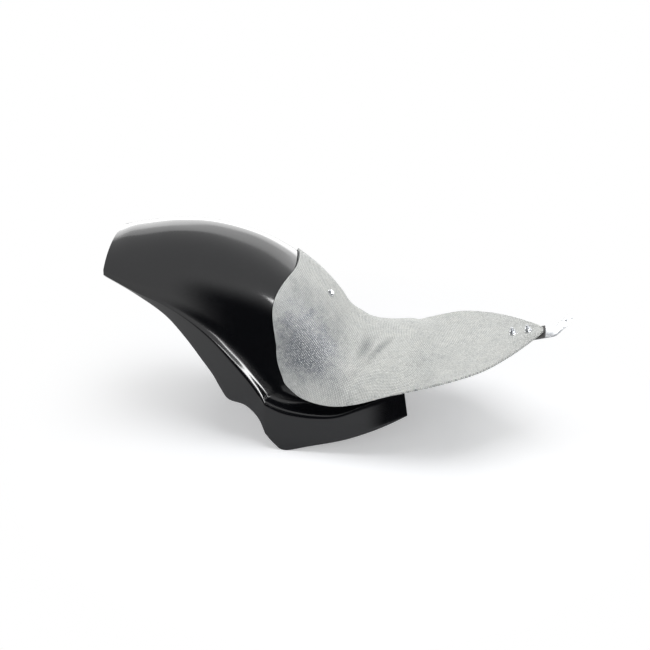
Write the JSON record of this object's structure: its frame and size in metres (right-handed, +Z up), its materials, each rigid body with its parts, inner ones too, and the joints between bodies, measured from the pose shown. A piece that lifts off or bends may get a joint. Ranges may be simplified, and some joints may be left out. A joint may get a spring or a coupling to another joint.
{
  "type": "motorcycle rear fender",
  "caption": "Short domed rear fender shell with flared skirts, carrying a bare laminate seat pan with bolts and a steel nose bracket.",
  "frame": {"origin": "midway along the part's length and on its centre plane, level with the lowest point of the skirts", "axes": "+X forward towards the seat nose, +Y to the left, +Z up, in the attitude that the part has on the machine"},
  "size_m": [0.8024, 0.266, 0.3648],
  "materials": {
    "black_shell": "gloss black moulded shell",
    "bare_laminate": "bare glass-fibre laminate with its weave showing",
    "black_rubber": "matt black rubber",
    "strip_steel": "bare steel strip",
    "zinc_bolt": "zinc plated",
    "bright_washer": "bright zinc plated"
  },
  "bodies": {
    "root": {"fender_shell": "black_shell", "seat_pan": "bare_laminate", "nose_pad": "black_rubber", "nose_bracket": "strip_steel", "front_nose_bolt": "zinc_bolt", "rear_nose_bolt": "zinc_bolt", "front_nose_washer": "bright_washer", "rear_nose_washer": "bright_washer", "front_nose_nut": "zinc_bolt", "rear_nose_nut": "zinc_bolt", "back_bolt": "zinc_bolt", "back_washer": "bright_washer", "back_plate_washer": "bright_washer", "back_nut": "zinc_bolt"}
  },
  "joints": []
}
